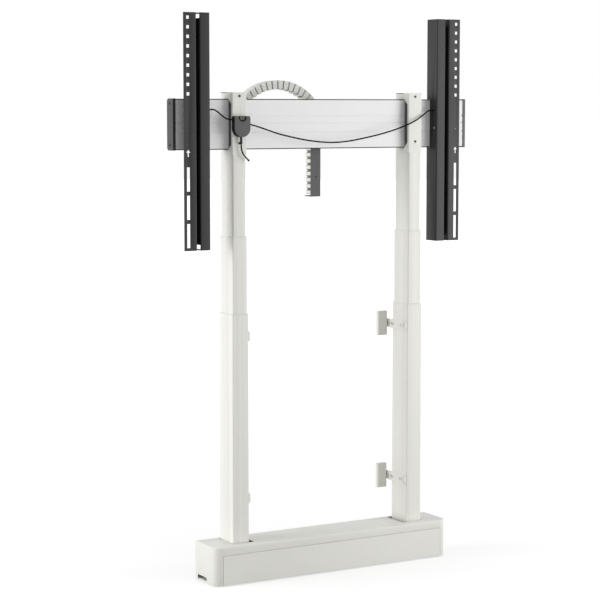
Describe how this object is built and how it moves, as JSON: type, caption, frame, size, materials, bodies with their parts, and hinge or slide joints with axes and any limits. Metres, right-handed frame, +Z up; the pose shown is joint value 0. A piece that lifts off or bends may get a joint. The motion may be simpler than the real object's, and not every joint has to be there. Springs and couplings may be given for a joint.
{
  "type": "tv lift mechanism",
  "caption": "Floor-standing television lift: telescopic columns on a slim base carry a cross bar with hooked screen strips, a cable chain and a release cord.",
  "frame": {"origin": "on the floor, midway between the two columns and on their centre plane", "axes": "+Z up, +X to the viewer's right along the bar, +Y back towards the wall"},
  "size_m": [0.9424, 0.142, 1.5445],
  "materials": {
    "white_steel": "fine satin powder coat, warm white",
    "black_steel": "satin black powder coat",
    "dark_steel": "matt dark grey powder coat",
    "silver_bar": "satin anodised extrusion",
    "bright_steel": "zinc plated",
    "black_plastic": "fine moulded grain",
    "grey_plastic": "fine moulded grain",
    "chain_plastic": "smooth moulded plastic",
    "pad_plastic": "smooth moulded plastic",
    "white_plastic": "smooth moulded plastic",
    "foot_rubber": "matt moulded rubber",
    "cord_cover": "tight round braid",
    "cable_cover": "smooth cable sheath"
  },
  "bodies": {
    "stand": {"base_feet": "foot_rubber", "base_plate": "white_steel", "base_cover": "white_steel", "front_panel": "white_steel", "back_panel": "white_steel", "panel_screws": "bright_steel", "foot_plates": "bright_steel", "foot_bolts": "bright_steel", "left_gear_motor": "dark_steel", "right_gear_motor": "dark_steel", "control_box": "black_plastic", "mains_inlet": "black_plastic", "motor_cables": "cable_cover", "left_outer_tube": "white_steel", "right_outer_tube": "white_steel", "outer_collars": "white_plastic", "left_lower_arm": "white_steel", "left_upper_arm": "white_steel", "right_lower_arm": "white_steel", "right_upper_arm": "white_steel", "wall_pads": "pad_plastic", "arm_screws": "bright_steel"},
    "left_screw": {"left_spindle": "bright_steel"},
    "right_screw": {"right_spindle": "bright_steel"},
    "left_middle": {"left_middle_tube": "white_steel", "left_middle_collar": "white_plastic", "left_middle_glides": "white_plastic"},
    "right_middle": {"right_middle_tube": "white_steel", "right_middle_collar": "white_plastic", "right_middle_glides": "white_plastic"},
    "carriage": {"left_inner_tube": "white_steel", "right_inner_tube": "white_steel", "inner_glides": "white_plastic", "head_caps": "black_plastic", "spindle_nuts": "white_plastic", "left_head_strap": "white_steel", "right_head_strap": "white_steel", "head_blocks": "black_plastic", "head_screws": "black_steel", "lift_bar": "silver_bar", "bar_edge_strips": "black_plastic", "left_end_cap": "black_plastic", "right_end_cap": "black_plastic", "end_cap_screws": "bright_steel", "chain_plate": "dark_steel", "chain_clip": "dark_steel", "cable_chain": "chain_plastic", "pull_handle": "grey_plastic", "left_pull_cord": "cord_cover", "right_pull_cord": "cord_cover", "cord_tail": "cord_cover", "cord_sleeves": "cable_cover"},
    "left_hanger": {"left_strip": "black_steel", "left_latch_pin": "bright_steel", "left_latch_spring": "bright_steel"},
    "right_hanger": {"right_strip": "black_steel", "right_latch_pin": "bright_steel", "right_latch_spring": "bright_steel"},
    "left_hook": {"left_latch": "black_steel"},
    "right_hook": {"right_latch": "black_steel"}
  },
  "joints": [
    {"name": "lift", "type": "slide", "parent": "stand", "child": "carriage", "axis": [0, 0, 1], "range_m": [-0.398, 0.225]},
    {"name": "left_middle_slide", "type": "slide", "parent": "stand", "child": "left_middle", "axis": [0, 0, 1], "range_m": [-0.2, 0.115]},
    {"name": "left_screw_turn", "type": "hinge", "parent": "stand", "child": "left_screw", "pos_m": [-0.282, 0, 0.3], "axis": [0, 0, 1], "range_deg": [-7200, 4100]},
    {"name": "right_middle_slide", "type": "slide", "parent": "stand", "child": "right_middle", "axis": [0, 0, 1], "range_m": [-0.2, 0.115]},
    {"name": "right_screw_turn", "type": "hinge", "parent": "stand", "child": "right_screw", "pos_m": [0.282, 0, 0.3], "axis": [0, 0, 1], "range_deg": [-7200, 4100]},
    {"name": "left_strip_slide", "type": "slide", "parent": "carriage", "child": "left_hanger", "axis": [1, 0, 0], "range_m": [-0.035, 0.05], "deforming": ["left_pull_cord"]},
    {"name": "left_hook_release", "type": "hinge", "parent": "left_hanger", "child": "left_hook", "pos_m": [-0.396, -0.035, 1.238], "axis": [1, 0, 0], "range_deg": [-9, 0], "stiffness_Nm_per_rad": 0.5, "springref_deg": 8.59, "deforming": ["left_pull_cord"]},
    {"name": "right_strip_slide", "type": "slide", "parent": "carriage", "child": "right_hanger", "axis": [1, 0, 0], "range_m": [-0.035, 0.05], "deforming": ["right_pull_cord"]},
    {"name": "right_hook_release", "type": "hinge", "parent": "right_hanger", "child": "right_hook", "pos_m": [0.3675, -0.035, 1.238], "axis": [1, 0, 0], "range_deg": [-9, 0], "stiffness_Nm_per_rad": 0.5, "springref_deg": 8.59, "deforming": ["right_pull_cord"]}
  ],
  "couplings": [
    {"joint": "left_middle_slide", "follows": "lift", "ratio": 0.5},
    {"joint": "left_screw_turn", "follows": "lift", "rad_per_m": 314.16},
    {"joint": "right_middle_slide", "follows": "lift", "ratio": 0.5},
    {"joint": "right_screw_turn", "follows": "lift", "rad_per_m": 314.16}
  ]
}
